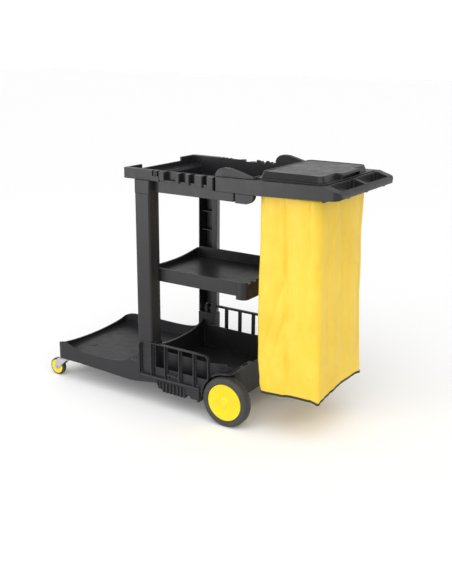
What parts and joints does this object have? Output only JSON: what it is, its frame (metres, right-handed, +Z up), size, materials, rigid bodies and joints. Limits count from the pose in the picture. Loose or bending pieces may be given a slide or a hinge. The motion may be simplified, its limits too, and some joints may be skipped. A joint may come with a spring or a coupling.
{
  "type": "housekeeping cart",
  "caption": "Housekeeping cart with a low front deck, side columns, shelf, notched tool tray, lidded bag frame with push handle, folding side racks, rear wheels and swivel casters.",
  "frame": {"origin": "on the floor under the middle of the whole cart with its casters trailing forward", "axes": "+X towards the push handle, +Y towards the right side as seen by a person pushing, +Z up"},
  "size_m": [1.3734, 0.49, 0.988],
  "materials": {
    "body_plastic": "satin moulded polypropylene, charcoal",
    "lid_plastic": "satin moulded polypropylene, charcoal",
    "bag_vinyl": "soft coated yellow vinyl",
    "bag_binding": "woven binding tape",
    "wire": "bright drawn wire",
    "hub_yellow": "moulded yellow plastic",
    "tyre": "dark grey rubber",
    "axle_steel": "bright steel",
    "zinc": "bright zinc plating",
    "pin_steel": "bright steel"
  },
  "bodies": {
    "cart": {"bag": "bag_vinyl", "bag_frame": "body_plastic", "bag_hoop": "wire", "bag_piping": "bag_binding", "base_platform": "body_plastic", "left_axle_bracket": "body_plastic", "left_axle_cap": "hub_yellow", "left_caster_bearing": "zinc", "left_caster_collar": "zinc", "left_caster_stem": "zinc", "left_column": "body_plastic", "left_rack_pins": "pin_steel", "left_tool_comb": "body_plastic", "lid_pins": "pin_steel", "middle_shelf": "body_plastic", "rear_axle": "axle_steel", "right_axle_bracket": "body_plastic", "right_axle_cap": "hub_yellow", "right_caster_bearing": "zinc", "right_caster_collar": "zinc", "right_caster_stem": "zinc", "right_column": "body_plastic", "right_rack_pins": "pin_steel", "right_tool_comb": "body_plastic", "top_tray": "body_plastic"},
    "left_rear_wheel": {"left_wheel_tyre": "tyre", "left_wheel_hub": "hub_yellow"},
    "left_caster": {"left_caster_fork": "zinc", "left_caster_bolt": "zinc"},
    "left_caster_wheel": {"left_caster_hub": "hub_yellow", "left_caster_tyre": "tyre"},
    "left_side_rack": {"left_rack": "body_plastic"},
    "right_rear_wheel": {"right_wheel_tyre": "tyre", "right_wheel_hub": "hub_yellow"},
    "right_caster": {"right_caster_fork": "zinc", "right_caster_bolt": "zinc"},
    "right_caster_wheel": {"right_caster_hub": "hub_yellow", "right_caster_tyre": "tyre"},
    "right_side_rack": {"right_rack": "body_plastic"},
    "lid": {"lid": "lid_plastic"}
  },
  "joints": [
    {"name": "left_rear_wheel_spin", "type": "hinge", "parent": "cart", "child": "left_rear_wheel", "pos_m": [0.24975, -0.223, 0.1], "axis": [0, 1, 0], "continuous": true},
    {"name": "left_caster_swivel", "type": "hinge", "parent": "cart", "child": "left_caster", "pos_m": [-0.59825, -0.199, 0.07], "axis": [0, 0, 1], "continuous": true},
    {"name": "left_caster_wheel_spin", "type": "hinge", "parent": "left_caster", "child": "left_caster_wheel", "pos_m": [-0.64925, -0.199, 0.0375], "axis": [0, 1, 0], "continuous": true},
    {"name": "left_rack_fold", "type": "hinge", "parent": "cart", "child": "left_side_rack", "pos_m": [-0.15825, -0.23875, 0.127], "axis": [1, 0, 0], "range_deg": [0, 90]},
    {"name": "right_rear_wheel_spin", "type": "hinge", "parent": "cart", "child": "right_rear_wheel", "pos_m": [0.24975, 0.223, 0.1], "axis": [0, 1, 0], "continuous": true},
    {"name": "right_caster_swivel", "type": "hinge", "parent": "cart", "child": "right_caster", "pos_m": [-0.59825, 0.199, 0.07], "axis": [0, 0, 1], "continuous": true},
    {"name": "right_caster_wheel_spin", "type": "hinge", "parent": "right_caster", "child": "right_caster_wheel", "pos_m": [-0.64925, 0.199, 0.0375], "axis": [0, 1, 0], "continuous": true},
    {"name": "right_rack_fold", "type": "hinge", "parent": "cart", "child": "right_side_rack", "pos_m": [-0.17825, 0.23875, 0.153], "axis": [-1, 0, 0], "range_deg": [0, 90]},
    {"name": "lid_hinge", "type": "hinge", "parent": "cart", "child": "lid", "pos_m": [0.34875, 0, 0.9605], "axis": [0, -1, 0], "range_deg": [0, 100]}
  ]
}
